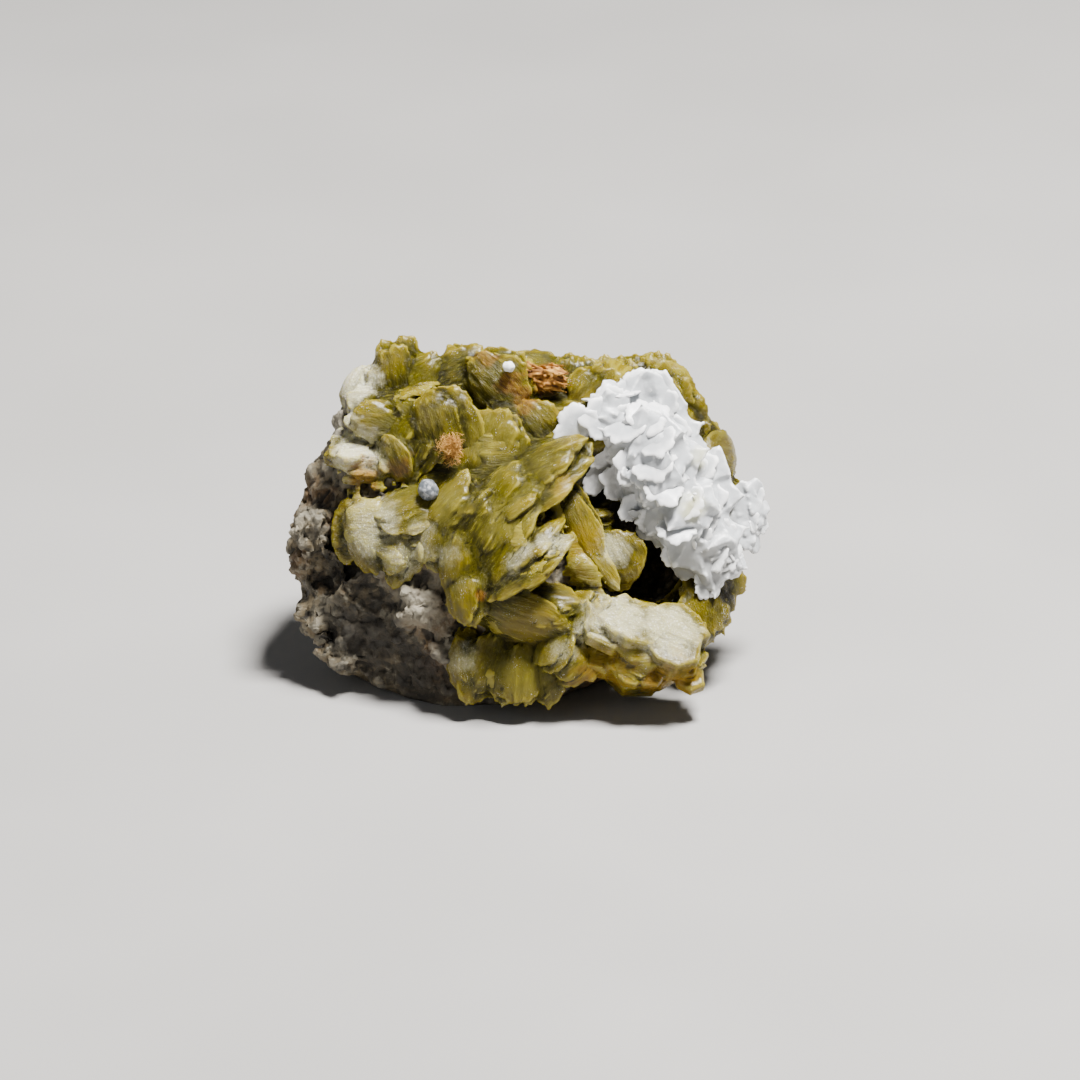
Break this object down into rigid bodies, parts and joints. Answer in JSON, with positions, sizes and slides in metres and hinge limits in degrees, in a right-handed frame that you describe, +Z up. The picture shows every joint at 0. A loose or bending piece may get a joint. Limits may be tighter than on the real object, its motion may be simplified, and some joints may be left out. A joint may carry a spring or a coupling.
{
  "type": "siderite with dolomite specimen",
  "caption": "Hand specimen of olive lens-shaped siderite crystals with white saddle-shaped dolomite on a pale rock, standing on a flat base for display.",
  "frame": {"origin": "on the ground under the middle of the specimen's box", "axes": "+Z up, the crystal face looks along -Y, +X is to the right as the face is seen"},
  "size_m": [0.0612, 0.0385, 0.0417],
  "materials": {
    "matrix": "matte",
    "siderite": "satin",
    "dolomite": "satin",
    "quartz": "satin",
    "limonite": "matte"
  },
  "bodies": {
    "root": {"matrix": "matrix", "siderite_crystals": "siderite", "dolomite_cluster": "dolomite", "dolomite_side_cluster": "dolomite", "dolomite_grain": "dolomite", "quartz_grain": "quartz", "limonite_tuft": "limonite", "limonite_crust": "limonite"}
  },
  "joints": []
}
